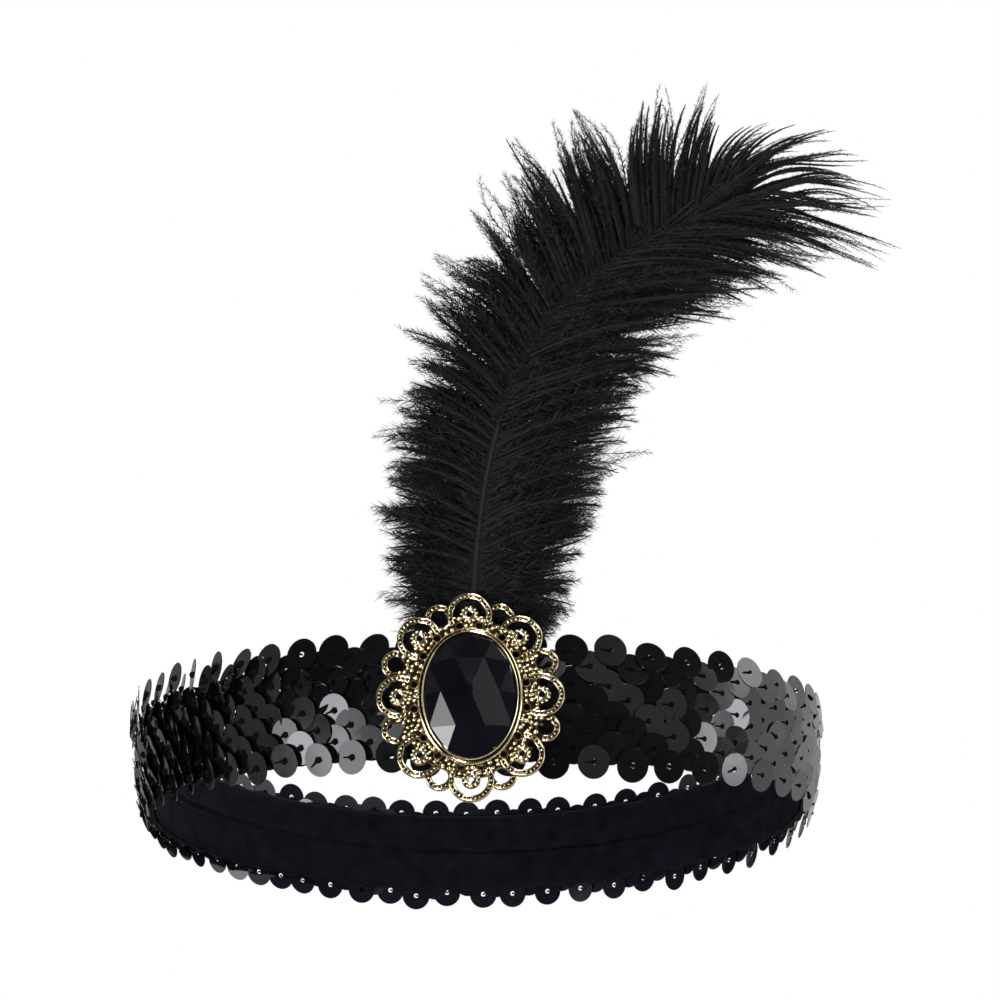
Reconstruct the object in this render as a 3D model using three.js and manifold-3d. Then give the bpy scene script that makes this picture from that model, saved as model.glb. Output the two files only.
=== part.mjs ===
// Sequin headband with a jewelled brooch and an ostrich plume, in millimetres.
// +Z is up, the brooch faces -Y, and the origin is the centre of the loop at the band's mid-height.
import * as THREE from "three";
import { mergeVertices } from "three/addons/utils/BufferGeometryUtils.js";
import Module from "manifold-3d";

const wasm = await Module();
wasm.setup();

// Driving dimensions
const GAP = 0.3; // clearance between neighbouring pieces
// The tape's inner face in plan is an oval of about 443 mm round. As worn, its sides ride higher than the
// front and the rear, they lean out towards the top, and the rear is a little narrower than the front.
const LOOP = { halfWidth: 69.4, halfDepth: 71.6, saddle: 2.9, sideLean: 0.12, narrowing: 0.035, segments: 64 };

const TAPE = { width: 18, thickness: 1.2, grooveDepth: 0.45, grooveHalfWidth: 0.7 };

const SEQUIN = {
  radius: 3.2,
  rows: 4,
  rowPitch: 6.8,
  perRow: 58,
  zigzag: 0.5, // neighbours in a row sit this much above and below its line
};
// One sequin along its row: share of the pitch, lift off the backing, half-width as a share of the radius.
const SEQUIN_STEPS = [
  { along: 0, lift: 0.35, width: 0.35 },
  { along: 0.32, lift: 0.8, width: 0.95 },
  { along: 0.66, lift: 1.25, width: 0.97 },
  { along: 0.94, lift: 1.65, width: 0.4 },
];
const BACKING = { thickness: 0.6, halfWidth: 11 };
const VALLEY_LIFT = 0.15; // between the rows, above the backing

const STONE = {
  halfWidth: 9,
  halfHeight: 12.5,
  girdle: 1.6,
  crown: 4.2,
  starScale: 0.61, // size of the inner ring of corners
  starHeight: 0.62, // their height as a share of the crown
  tableScale: 0.08,
};

const BROOCH = {
  centre: { depth: 75.95, height: 0.4 }, // the back plate's distance ahead of the loop's axis, and its height
  lean: THREE.MathUtils.degToRad(2), // the top leans back
  backThickness: 1,
  plateLift: 1, // the pierced plate's back above the back plate's back
  plateThickness: 1.2,
  bezelWall: 0.7,
  bezelLip: 0.5, // the bezel stands this far above the stone's girdle
};
const LOBES = 8;
const LARGE_LOBE = { halfWidth: 13.5, halfHeight: 16.1, radius: 4.3, wire: 1.15, steps: 9 };
const SMALL_LOBE = { halfWidth: 15.2, halfHeight: 16.7, radius: 2.75, wire: 1.2, steps: 6 };
const EYE = { radius: 1.75, hole: 0.55, rise: 0.5, steps: 8 };
const CRESCENT_HALF_ANGLE = THREE.MathUtils.degToRad(100);
const PIN_HOLE = { halfWidth: 10.75, halfHeight: 13.95, radius: 0.6, offset: THREE.MathUtils.degToRad(10), steps: 6 };
const BEZEL_STEPS = 30;

const QUILL = { baseRadius: 0.85, tipRadius: 0.35, sides: 7, steps: 18 };
// The quill's curve seen from the front: x to the right, z up, depth ahead of the loop's axis.
const QUILL_CONTROL = [
  { x: 0, z: -7, depth: 74.6 },
  { x: 0.5, z: 53.3, depth: 74.6 },
  { x: 6, z: 89.6, depth: 72 },
  { x: 54.4, z: 104.7, depth: 68 },
];
// Barbs along the quill: share of its length, then for each side their length in mm and the way they point
// from root to end, in degrees from +X towards +Z.
const VANE = [
  { at: 0.17, leftLength: 16.5, leftHeading: 169, rightLength: 17, rightHeading: 6 },
  { at: 0.29, leftLength: 21, leftHeading: 165, rightLength: 25.5, rightHeading: 14 },
  { at: 0.4, leftLength: 23, leftHeading: 158, rightLength: 29, rightHeading: 13 },
  { at: 0.49, leftLength: 24, leftHeading: 146, rightLength: 32, rightHeading: 10 },
  { at: 0.56, leftLength: 25.5, leftHeading: 133, rightLength: 33.5, rightHeading: 8 },
  { at: 0.635, leftLength: 28, leftHeading: 124, rightLength: 35.5, rightHeading: 6 },
  { at: 0.75, leftLength: 33, leftHeading: 111, rightLength: 36.5, rightHeading: 4 },
  { at: 0.86, leftLength: 35.5, leftHeading: 91, rightLength: 37.5, rightHeading: 1 },
  { at: 0.92, leftLength: 34, leftHeading: 74, rightLength: 38, rightHeading: -4 },
  { at: 0.96, leftLength: 31, leftHeading: 46, rightLength: 38, rightHeading: -5 },
  { at: 1, leftLength: 32, leftHeading: 20, rightLength: 36, rightHeading: 2 },
];
const LOCK = {
  perSide: 19,
  width: 10.8,
  depth: 3.2,
  steps: 3,
  bow: 0.05, // rise of the middle above the line from root to end, as a share of the length
  fan: THREE.MathUtils.degToRad(7), // neighbours point a little ahead of and behind the quill's plane
  sink: 1.6,
};

// Geometry helpers

// A point of the band: angle round the loop, distance outwards from the tape's inner face, height on the band.
function loopPoint(angle, outwards, height) {
  const [across, along] = [Math.cos(angle), Math.sin(angle)];
  const lean = LOOP.sideLean * across ** 2 * height;
  return new THREE.Vector3(
    (LOOP.halfWidth + outwards + lean) * across,
    (LOOP.halfDepth + outwards + lean) * along,
    height * (1 - LOOP.narrowing * along) + LOOP.saddle * across ** 2,
  );
}

function solid(geometry) {
  const bare = new THREE.BufferGeometry();
  bare.setAttribute("position", geometry.getAttribute("position"));
  bare.setIndex(geometry.index);
  const merged = mergeVertices(bare, 1e-4);
  return new wasm.Manifold(
    new wasm.Mesh({
      numProp: 3,
      vertProperties: new Float32Array(merged.getAttribute("position").array),
      triVerts: new Uint32Array(merged.index.array),
    }),
  );
}

function geometryOf(manifold) {
  const mesh = manifold.getMesh();
  const geometry = new THREE.BufferGeometry();
  geometry.setAttribute("position", new THREE.BufferAttribute(new Float32Array(mesh.vertProperties), 3));
  geometry.setIndex(new THREE.BufferAttribute(new Uint32Array(mesh.triVerts), 1));
  return geometry;
}

const joined = (solids) => wasm.Manifold.union(solids);

// A closed ring: its section's corners in order, and the rule that places each of them in each column.
function banded(corners, columns, place) {
  const section = corners.map((_, i) => new THREE.Vector2(50, corners.length - i));
  const geometry = new THREE.LatheGeometry([...section, section[0]], columns);
  const points = geometry.getAttribute("position");
  const stride = corners.length + 1;
  for (let i = 0; i < points.count; i += 1) {
    const column = Math.floor(i / stride) % columns;
    const spot = place(corners[(i % stride) % corners.length], column);
    points.setXYZ(i, spot.x, spot.y, spot.z);
  }
  return geometry;
}

// A closed prism whose points are placed by a rule: share along it, then its section's two coordinates.
function swept(sides, steps, place) {
  const geometry = new THREE.CylinderGeometry(1, 1, 1, sides, steps);
  const points = geometry.getAttribute("position");
  for (let i = 0; i < points.count; i += 1) {
    const spot = place(points.getY(i) + 0.5, points.getX(i), points.getZ(i));
    points.setXYZ(i, spot.x, spot.y, spot.z);
  }
  return geometry;
}

// An oval disc in the brooch's own frame: x right, y up, z towards the viewer.
function disc(halfWidth, halfHeight, low, high, sides) {
  return new THREE.CylinderGeometry(1, 1, high - low, sides)
    .rotateX(Math.PI / 2)
    .scale(halfWidth, halfHeight, 1)
    .translate(0, 0, (low + high) / 2);
}

const onOval = (oval, angle) => ({ x: oval.halfWidth * Math.cos(angle), y: oval.halfHeight * Math.sin(angle) });

// Elastic tape, a ring with a sewn groove along the middle of its inner face
function elasticTape() {
  const half = TAPE.width / 2;
  const section = [
    { outwards: 0, height: -half },
    { outwards: TAPE.thickness, height: -half },
    { outwards: TAPE.thickness, height: half },
    { outwards: 0, height: half },
    { outwards: 0, height: TAPE.grooveHalfWidth },
    { outwards: TAPE.grooveDepth, height: 0 },
    { outwards: 0, height: -TAPE.grooveHalfWidth },
  ];
  const angle = (column) => (column / LOOP.segments) * 2 * Math.PI;
  return banded(section, LOOP.segments, (corner, column) =>
    loopPoint(angle(column), corner.outwards, corner.height),
  );
}

// Sequins, four shingled rows on one thread backing
const BACKING_BACK = TAPE.thickness + GAP;
const BACKING_FRONT = BACKING_BACK + BACKING.thickness;

// The corners of the facing's section: the rows' crests with valleys between, and a scalloped edge each way.
function sequinSection() {
  const corners = [];
  for (let row = 0; row < SEQUIN.rows; row += 1) {
    const height = (row - (SEQUIN.rows - 1) / 2) * SEQUIN.rowPitch;
    if (row === 0) corners.push({ kind: "edge", row, height, way: -1 });
    corners.push({ kind: "crest", row, height });
    const next = { kind: "valley", row: row + 0.5, height: height + SEQUIN.rowPitch / 2 };
    corners.push(row < SEQUIN.rows - 1 ? next : { kind: "edge", row, height, way: 1 });
  }
  for (const way of [1, -1]) {
    corners.push({ kind: "back", row: (SEQUIN.rows - 1) / 2, height: way * BACKING.halfWidth });
  }
  return corners;
}

function sequinPoint(corner, column) {
  const index = Math.floor(column / SEQUIN_STEPS.length);
  const step = SEQUIN_STEPS[column % SEQUIN_STEPS.length];
  const stagger = corner.row / 2; // each row starts half a sequin after the one below
  const angle = ((index + step.along + stagger) / SEQUIN.perRow) * 2 * Math.PI;
  const raised = corner.kind === "crest" || corner.kind === "edge";
  const zigzag = raised ? (index % 2 ? SEQUIN.zigzag : -SEQUIN.zigzag) : 0;
  const reach = corner.kind === "edge" ? corner.way * step.width * SEQUIN.radius : 0;
  const lift = { crest: step.lift, edge: step.lift, valley: VALLEY_LIFT, back: -BACKING.thickness };
  return loopPoint(angle, BACKING_FRONT + lift[corner.kind], corner.height + reach + zigzag);
}

function sequinFacing(quillSolid) {
  const columns = SEQUIN.perRow * SEQUIN_STEPS.length;
  return geometryOf(solid(banded(sequinSection(), columns, sequinPoint)).subtract(quillSolid));
}

// Faceted stone, a rose cut: a small table, six facets round it and a crown of triangles to the girdle
function stoneGeometry(back) {
  const corners = 6;
  const girdleTop = back + STONE.girdle;
  const top = girdleTop + STONE.crown;
  const rings = [
    { count: 2 * corners, scale: 1, height: back, turn: 0 },
    { count: 2 * corners, scale: 1, height: girdleTop, turn: 0 },
    { count: corners, scale: STONE.starScale, height: girdleTop + STONE.starHeight * STONE.crown, turn: 0 },
    { count: corners, scale: STONE.tableScale, height: top, turn: 0 },
  ];
  const points = [];
  const starts = rings.map((ring) => {
    const start = points.length;
    for (let i = 0; i < ring.count; i += 1) {
      const angle = ring.turn + (i / ring.count) * 2 * Math.PI;
      const spot = onOval(STONE, angle);
      points.push(spot.x * ring.scale, spot.y * ring.scale, ring.height);
    }
    return start / 3;
  });
  const at = (ring, i) => starts[ring] + ((i + rings[ring].count) % rings[ring].count);
  const faces = [];
  for (let i = 0; i < 2 * corners; i += 1) {
    faces.push([at(0, i), at(0, i + 1), at(1, i + 1)], [at(0, i), at(1, i + 1), at(1, i)]);
  }
  for (let i = 1; i < 2 * corners - 1; i += 1) faces.push([at(0, 0), at(0, i + 1), at(0, i)]);
  for (let k = 0; k < corners; k += 1) {
    faces.push([at(2, k), at(1, 2 * k), at(1, 2 * k + 1)]);
    faces.push([at(2, k), at(1, 2 * k + 1), at(2, k + 1)]);
    faces.push([at(2, k + 1), at(1, 2 * k + 1), at(1, 2 * k + 2)]);
    faces.push([at(2, k), at(2, k + 1), at(3, k + 1)], [at(2, k), at(3, k + 1), at(3, k)]);
  }
  for (let k = 1; k < corners - 1; k += 1) faces.push([at(3, 0), at(3, k), at(3, k + 1)]);
  const geometry = new THREE.BufferGeometry();
  geometry.setAttribute("position", new THREE.Float32BufferAttribute(points, 3));
  geometry.setIndex(faces.flat());
  return geometry;
}

// Brooch setting: back plate, bezel and a pierced plate with a large and a small lobe in turn
const PLATE_TOP = BROOCH.plateLift + BROOCH.plateThickness;
const STONE_BACK = BROOCH.backThickness + GAP;

function arc(centre, radius, from, to, steps) {
  const points = [];
  for (let i = 0; i <= steps; i += 1) {
    const angle = THREE.MathUtils.lerp(from, to, i / steps);
    points.push(new THREE.Vector2(centre.x + radius * Math.cos(angle), centre.y + radius * Math.sin(angle)));
  }
  return points;
}

const round = (centre, radius, steps) => arc(centre, radius, 0, 2 * Math.PI, steps).slice(0, -1);

// The way a lobe points: square to the oval that the lobes sit on.
function outwardAngle(oval, angle) {
  return Math.atan2(Math.sin(angle) / oval.halfHeight, Math.cos(angle) / oval.halfWidth);
}

// Where two neighbouring lobes cross on the outside, as an angle round the first lobe's centre.
function crossing(lobe, other) {
  const apart = Math.hypot(other.x - lobe.x, other.y - lobe.y);
  const towards = Math.atan2(other.y - lobe.y, other.x - lobe.x);
  const cosine = (lobe.radius ** 2 + apart ** 2 - other.radius ** 2) / (2 * lobe.radius * apart);
  const turns = [1, -1].map((way) => towards + way * Math.acos(cosine));
  const distance = (turn) =>
    Math.hypot(lobe.x + lobe.radius * Math.cos(turn), lobe.y + lobe.radius * Math.sin(turn));
  return distance(turns[0]) > distance(turns[1]) ? turns[0] : turns[1];
}

function lobes() {
  const all = [];
  for (let k = 0; k < 2 * LOBES; k += 1) {
    const spec = k % 2 ? SMALL_LOBE : LARGE_LOBE;
    const angle = (k / (2 * LOBES)) * 2 * Math.PI;
    all.push({ ...spec, ...onOval(spec, angle), angle, outward: outwardAngle(spec, angle), large: k % 2 === 0 });
  }
  return all;
}

function piercedPlate() {
  const all = lobes();
  const outline = [];
  const holes = [];
  all.forEach((lobe, k) => {
    const swing = (other) => {
      const turn = crossing(lobe, other) - lobe.outward;
      return lobe.outward + Math.atan2(Math.sin(turn), Math.cos(turn));
    };
    const before = swing(all[(k + all.length - 1) % all.length]);
    const after = swing(all[(k + 1) % all.length]);
    outline.push(...arc(lobe, lobe.radius, before, after, lobe.steps).slice(0, -1));
    if (!lobe.large) {
      holes.push(round(lobe, lobe.radius - lobe.wire, 8));
      return;
    }
    const [low, high] = [lobe.outward - CRESCENT_HALF_ANGLE, lobe.outward + CRESCENT_HALF_ANGLE];
    holes.push([...arc(lobe, lobe.radius - lobe.wire, low, high, 8), ...arc(lobe, EYE.radius, high, low, 6)]);
    holes.push(round(lobe, EYE.hole, 6));
    for (const side of [-1, 1]) {
      const spot = onOval(PIN_HOLE, lobe.angle + side * PIN_HOLE.offset);
      holes.push(round(spot, PIN_HOLE.radius, PIN_HOLE.steps));
    }
  });
  const shape = new THREE.Shape(outline);
  shape.holes = holes.map((points) => new THREE.Path(points));
  const plate = new THREE.ExtrudeGeometry(shape, { depth: BROOCH.plateThickness, bevelEnabled: false });
  return plate.translate(0, 0, BROOCH.plateLift);
}

// The raised ring at a large lobe's centre, sunk a little into the plate.
function eyeRing(lobe) {
  const shape = new THREE.Shape(round(lobe, EYE.radius - 0.12, EYE.steps));
  shape.holes = [new THREE.Path(round(lobe, EYE.hole + 0.1, 6))];
  const ring = new THREE.ExtrudeGeometry(shape, { depth: EYE.rise + 0.3, bevelEnabled: false });
  return ring.translate(0, 0, PLATE_TOP - 0.3);
}

function broochSetting(quillSolid) {
  const wide = STONE.halfWidth + GAP;
  const tall = STONE.halfHeight + GAP;
  const bezelTop = STONE_BACK + STONE.girdle + BROOCH.bezelLip;
  const cup = disc(wide + BROOCH.bezelWall, tall + BROOCH.bezelWall, 0, bezelTop, BEZEL_STEPS);
  const seat = disc(wide, tall, BROOCH.backThickness, 2 * bezelTop, BEZEL_STEPS);
  const eyes = lobes().filter((lobe) => lobe.large).map((lobe) => solid(eyeRing(lobe)));
  return joined([solid(piercedPlate()), solid(cup), ...eyes]).subtract(solid(seat)).subtract(quillSolid);
}

// Ostrich plume: a tapering quill with locks of barbs on both sides
const quillCurve = new THREE.CubicBezierCurve3(
  ...QUILL_CONTROL.map((point) => new THREE.Vector3(point.x, -point.depth, point.z)),
);

function quillGeometry(swell = 0) {
  const forward = new THREE.Vector3(0, -1, 0);
  return swept(QUILL.sides, QUILL.steps, (t, across, ahead) => {
    const radius = THREE.MathUtils.lerp(QUILL.baseRadius, QUILL.tipRadius, t) + swell;
    const side = quillCurve.getTangentAt(t).cross(forward).normalize();
    return quillCurve.getPointAt(t).addScaledVector(side, across * radius).addScaledVector(forward, ahead * radius);
  });
}

function vaneAt(share, column) {
  const next = Math.max(1, VANE.findIndex((row) => row.at >= share));
  const [low, high] = [VANE[next - 1], VANE[next]];
  return THREE.MathUtils.mapLinear(share, low.at, high.at, low[column], high[column]);
}

// One lock: a flat blade that rises from the quill, sinks towards its end and closes to a point.
function lockGeometry(side, index) {
  const first = VANE[0].at;
  const share = first + ((index + (side === "left" ? 0 : 0.5)) / (LOCK.perSide - 0.5)) * (1 - first);
  const length = vaneAt(share, `${side}Length`);
  const heading = THREE.MathUtils.degToRad(vaneAt(share, `${side}Heading`));
  const growth = Math.min(1, 0.5 + index / 8); // the lowest locks are small and flat, clear of the band
  const fan = (index % 2 ? 1 : -1) * LOCK.fan * Math.min(1, index / 6);
  const forward = new THREE.Vector3(0, -1, 0);
  const up = new THREE.Vector3(0, 0, 1);
  const root = quillCurve.getPointAt(share);
  const flat = new THREE.Vector3(Math.cos(heading), 0, Math.sin(heading));
  const across = flat.clone().cross(forward).normalize();
  const way = flat.clone().multiplyScalar(Math.cos(fan)).addScaledVector(forward, Math.sin(fan));
  return swept(4, LOCK.steps, (t, x, z) => {
    const taper = t === 1 ? 0.06 : Math.sin(Math.PI * (0.22 + 0.7 * t));
    const size = taper * growth;
    return root
      .clone()
      .addScaledVector(way, t * (length + LOCK.sink) - LOCK.sink)
      .addScaledVector(across, (x * LOCK.width * size) / 2)
      .addScaledVector(forward, (z * LOCK.depth * size) / 2)
      .addScaledVector(up, 4 * LOCK.bow * length * t * (1 - t));
  });
}

function plume() {
  const locks = [];
  for (const side of ["left", "right"]) {
    for (let index = 0; index < LOCK.perSide; index += 1) locks.push(solid(lockGeometry(side, index)));
  }
  return joined([solid(quillGeometry()), ...locks]);
}

// Assembly
const MATERIAL = {
  elastic: new THREE.MeshStandardMaterial({ color: 0x17171c, roughness: 0.85, metalness: 0 }),
  sequin: new THREE.MeshStandardMaterial({ color: 0x0d0d0e, roughness: 0.18, metalness: 0 }),
  gold: new THREE.MeshStandardMaterial({ color: 0xd9b96a, roughness: 0.25, metalness: 1 }),
  stone: new THREE.MeshStandardMaterial({ color: 0x0c0b10, roughness: 0.06, metalness: 0 }),
  plume: new THREE.MeshStandardMaterial({ color: 0x141416, roughness: 0.7, metalness: 0 }),
};

const named = (name, geometry, material) => Object.assign(new THREE.Mesh(geometry, material), { name });

const quillWithGap = quillGeometry(GAP);
const brooch = new THREE.Group();
brooch.position.set(0, -BROOCH.centre.depth, BROOCH.centre.height);
brooch.rotation.x = Math.PI / 2 - BROOCH.lean; // its own z points to the viewer
brooch.updateMatrix();
const quillBehindBrooch = quillWithGap.clone().applyMatrix4(brooch.matrix.clone().invert());
brooch.add(named("brooch_setting", geometryOf(broochSetting(solid(quillBehindBrooch))), MATERIAL.gold));
brooch.add(named("stone", stoneGeometry(STONE_BACK), MATERIAL.stone));

const headband = new THREE.Group();
headband.add(named("elastic_band", elasticTape(), MATERIAL.elastic));
headband.add(named("sequin_facing", sequinFacing(solid(quillWithGap)), MATERIAL.sequin));
headband.add(brooch);
headband.add(named("ostrich_plume", geometryOf(plume()), MATERIAL.plume));

export default headband;
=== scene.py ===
"""Sequin headband with a gilt brooch and an ostrich plume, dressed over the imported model."""
import math
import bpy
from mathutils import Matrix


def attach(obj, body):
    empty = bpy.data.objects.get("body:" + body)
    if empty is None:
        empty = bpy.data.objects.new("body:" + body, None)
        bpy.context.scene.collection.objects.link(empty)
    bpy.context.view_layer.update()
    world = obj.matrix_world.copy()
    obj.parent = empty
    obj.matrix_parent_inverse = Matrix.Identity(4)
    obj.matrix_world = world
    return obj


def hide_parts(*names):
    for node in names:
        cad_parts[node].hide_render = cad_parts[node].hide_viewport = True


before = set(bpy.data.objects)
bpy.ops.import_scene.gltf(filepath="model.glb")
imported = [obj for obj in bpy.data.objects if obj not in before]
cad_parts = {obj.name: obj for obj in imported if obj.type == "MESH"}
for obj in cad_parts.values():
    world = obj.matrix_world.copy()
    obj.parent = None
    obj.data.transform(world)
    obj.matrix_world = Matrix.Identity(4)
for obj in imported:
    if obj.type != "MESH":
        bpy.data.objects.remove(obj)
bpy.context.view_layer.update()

from types import SimpleNamespace as Values

import bpy
import numpy as np
from mathutils import Matrix, Vector

MM = 0.001
SEED = 26

# Sizes are in millimetres, and angles in degrees where they aren't turned into radians here.
# The loop, the tape's width and thickness, the brooch's plate, lobes and openings, the stone's oval and the
# quill's curve have the sizes of the part's source.

# Tape
LOOP = Values(half_width=69.4, half_depth=71.6, saddle=2.9, side_lean=0.12, narrowing=0.035)
TAPE = Values(width=18.0, thickness=1.2, length=443.0, join_depth=0.25, edge_roll=0.45)
# Lines along the tape's inner face: height on the tape, half-width and depth outwards
TAPE_LINES = [(0.0, 0.45, 0.45), (-1.0, 0.4, -0.16), (1.0, 0.4, -0.16), (5.6, 0.3, 0.14)]
# Ripples along the tape: depth, number round the loop and start in radians
TAPE_RIPPLES = [(0.05, 97, 0.0), (0.04, 61, 1.3), (0.05, 23, 0.4)]
SEAM = Values(half_width=1.6, wave=0.12, waves=31)
KNIT = Values(rib=0.9, stitch=0.7, slant=1.2)

# Sequins: along their row they are uneven by a part of their spacing
SEQUIN = Values(
    radius=3.3, hole=0.55, thickness=0.18, sides=24, per_row=116, ring_pitch=0.42,
    stand_off=2.45, row_step=0.25, uneven_along=0.09, uneven_across=0.28,
)
# Each row's height on the band, how far its sequins lean back in degrees and how far they zigzag
SEQUIN_ROWS = [(-9.8, -13.0, 1.3), (-3.4, -10.0, 1.5), (3.2, -4.0, 1.5), (9.9, 12.0, 1.3)]
# How steeply the sequins overlap round the loop: the angle from its right side and the tilt, in degrees
SEQUIN_TILT = [
    (-180, 2), (-165, 3), (-157, 8), (-150, 13), (-141, 19), (-134, 18), (-130, 10), (-123, 9), (-119, 2),
    (-113, 5), (-107, 9), (-101, 11), (-90, 5), (-60, 5), (-45, 9), (0, 6), (90, 6), (180, 2),
]
# How far the trim draws in round the loop: angle, rise of its lower edge and drop of its upper edge
TRIM_DRAW = [
    (-180, 2.0, 0), (-160, 2.2, -0.2), (-140, 2.25, -0.4), (-110, 2.3, 0), (-95, 1.0, 0), (-75, 0.2, 0.9),
    (-55, 0.8, 1.4), (-20, 1.8, 1.5), (0, 1.2, 1.2), (30, 0.4, 0.8), (60, 0.6, 0.9), (120, 0.8, 1.3),
    (150, 1.7, 0.7), (180, 2.0, 0),
]
# How unevenly the sequins tilt round the loop, in degrees, and lean, as a part of that
TILT_SPREAD = [(-180, 4.5), (-60, 4.0), (-20, 2.2), (60, 3.0), (180, 4.5)]
LEAN_SPREAD = 0.85
# How much of their lean the sequins lose at the middle of the rear: past 1 they lean the other way
REAR_LEAN_LOSS = 1.3
# How much closer together the sequins are on the left, and how far they stand out at the sides
CROWDING = 0.17
SIDE_SWELL = 1.3
BACKING = Values(half_height=9.4, scallop=0.35, thickness=0.35, sink=0.05, swell=0.75)
# A stitch: part of its reach, height over the sequin and share of the knot's thickness
STITCH_PATH = [
    (0, -0.22, 1), (0, 0.08, 1), (0.12, 0.17, 0.5), (0.45, 0.2, 0), (0.75, 0.18, 0), (1, 0.06, 0),
]
# Mean and spread of the stitches' reach and slant, and their radius
STITCH = Values(reach=(1.9, 0.3), slant=(-0.2, 0.5), radius=0.18, loose_radius=0.24)
# How many stitches are loose and leave the hole open, by y, and the other knots' radius, by x
LOOSE = [(-60, 0.05), (20, 0.9)]
KNOT_RADIUS = [(-20, 0.8), (50, 0.45)]

# Brooch
STONE = Values(half_width=9.0, half_height=12.5)
BROOCH = Values(depth=75.95, height=0.4, lean=2.0, plate_low=1.0, plate_top=2.2, rounding=0.22)
BACK_PLATE = Values(scale=(1.09, 1.065), thickness=1.0, rounding=0.15)
LOBES = 8
LARGE_LOBE = Values(half_width=13.5, half_height=16.1, radius=4.3, wire=1.15, steps=26)
SMALL_LOBE = Values(half_width=15.2, half_height=16.7, radius=2.75, wire=1.2, steps=16)
CRESCENT_HALF_ANGLE = math.radians(100)
# Each large lobe's eye: its pierced disc, the raised ring round its hole and the granules round that
EYE = Values(radius=1.75, hole=0.55)
EYE_RING = Values(radius=0.92, section=0.36, lift=0.2, steps=28, sides=8)
EYE_BEADS = Values(circle=1.46, count=11, start=0.2, radius=0.3)
PIN_HOLE = Values(half_width=10.75, half_height=13.95, radius=0.6, offset=math.radians(10))
COLLAR = Values(radius=0.78, section=0.17, lift=0.03, steps=16, sides=6)
# The lobes' rims: two smooth strands with a row of beads between them, over a sunk strand painted darkest as
# shade
RIM = Values(half_angle=math.radians(122), inset=0.12, strand=0.17, strand_places=(0.15, 0.85))
RIM_BEAD = Values(radius=0.25, pitch=0.8, sink=0.06)
SHADE_CHANNEL = Values(radius=0.27, drop=0.2)
# Granules strewn between two ovals, given by their half-width and half-height
GRANULE = Values(
    tries=9000, smallest=0.34, spread=0.16, apart=0.38, sink=0.03, from_hole=0.35,
    inner=(10.2, 13.7), outer=(14.2, 17.2), crescent_margin=0.12, nearest=1.1, range=0.45,
)
# The bezel's section, a thin lip, a groove and a sloping foot: distance out from the stone, height and tone.
# The tone
# is painted light: a painted highlight on the lip and the slope, painted shade in the groove and down the
# walls
BEZEL = [
    (0.1, 0.4, 0.1), (0.1, 2.8, 0.3), (-0.2, 3.1, 1), (-0.16, 3.3, 1), (0.0, 3.38, 1), (0.14, 3.28, 1),
    (0.2, 2.95, 0.4), (0.27, 2.75, 0), (0.42, 2.72, 0), (0.52, 2.86, 0.8), (0.68, 2.82, 0.8),
    (0.9, 2.5, 0.8), (1.0, 2.3, 0.5), (1.02, 2.1, 0.1), (1.0, 0.2, 0.1), (0.9, 0.0, 0.1),
]
# The gold's painted light: the flat plate's tone, painted shade between the granules, and the heights
# between which the relief goes from painted shade at its foot to a painted highlight on its top
GILT_PAINTED_LIGHT = Values(plate=0.14, dark_below=2.08, rise=0.32)

# Plume
QUILL = Values(base_radius=0.85, tip_radius=0.3, bare_below=0.47, steps=64, sides=10)
QUILL_CONTROL = [(0, -74.6, -7), (0.5, -74.6, 53.3), (6, -72, 89.6), (54.4, -68, 104.7)]
# Share of the quill's length, then each side's barb length and the way it points, in degrees.
# Low on the quill the rows are near the part's, with one more below. Towards the tip they spread wider and
# are shorter, as in the photo.
VANE_COLUMNS = ("at", "left_length", "left_heading", "right_length", "right_heading")
VANE = [
    (0.13, 14.5, 172, 16, 4),
    (0.17, 16.5, 169, 18.5, 9),
    (0.29, 21.5, 165, 26, 14),
    (0.4, 23.5, 157, 29.5, 13),
    (0.49, 24.5, 145, 32.5, 10),
    (0.56, 26, 133, 34.5, 7),
    (0.635, 28.5, 124, 37, 3),
    (0.75, 33, 111, 40, -3),
    (0.86, 32, 95, 40, -8),
    (0.92, 30, 84, 38, -10),
    (0.96, 26.5, 72, 36, -11),
    (1.0, 26, 56, 33, -8),
]
BARB_STEPS = np.linspace(0, 1, 12)
# How far apart the barbs' roots are kept, against their ends: mm for the whole quill
ROOT_WEIGHT = 320
# The under layer is even and has broad stems, so that no light shows between them near the quill. The over
# layer is mostly gathered into wisps. Depths count backwards from the quill: where it is bare, and above.
LAYERS = {
    "under": Values(
        barbs=260, stem_width=1.8, wander=0.25, gathered=0.12, swing=0.02, stray=0.05, depths=(0.4, 0.4),
    ),
    "over": Values(
        barbs=205, stem_width=0.5, wander=1.0, gathered=1.0, swing=0.05, stray=0.3, depths=(-0.1, -0.5),
    ),
}
# How the barbs differ: lengths as parts of the full length, ways in radians
BARB = Values(
    length_range=0.25, length_spread=0.03, fan=0.18, bow=0.055, bow_spread=0.02, sway=0.02,
    end_sway=0.03, overlaps=(-0.4, 1.4), goal=(0.74, 1.02), pull=(0.75, 1),
)
WISP = Values(count=30, length=(1.03, 0.06), swing=0.05, fan=0.16, curl=0.07)
# Up to this share of the quill the barbs lie flat on the brooch, and over this range they fan out
FLAT = Values(share=0.17, range=0.12, least=0.12)
# By share of the quill's length: how many of the over layer's barbs gather into wisps
GATHERED = {
    "left": [(0.2, 0.6), (0.4, 0.8), (0.6, 0.9)],
    "right": [(0.2, 0.35), (0.45, 0.55), (0.7, 0.8), (1.0, 0.97)],
}
# the shortest of the other barbs, as a part of the full length
SHORTEST = {
    "left": [(0.2, 0.62), (0.65, 0.6), (0.85, 0.68), (1.0, 0.7)],
    "right": [(0.2, 0.75), (0.7, 0.7), (0.85, 0.5), (1.0, 0.3)],
}
# how late the barbs of a wisp come together, as a power
CLOSING = {"left": [(0.6, 2.4), (1.0, 2.1)], "right": [(0.7, 2.4), (0.95, 1.4)]}
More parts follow.
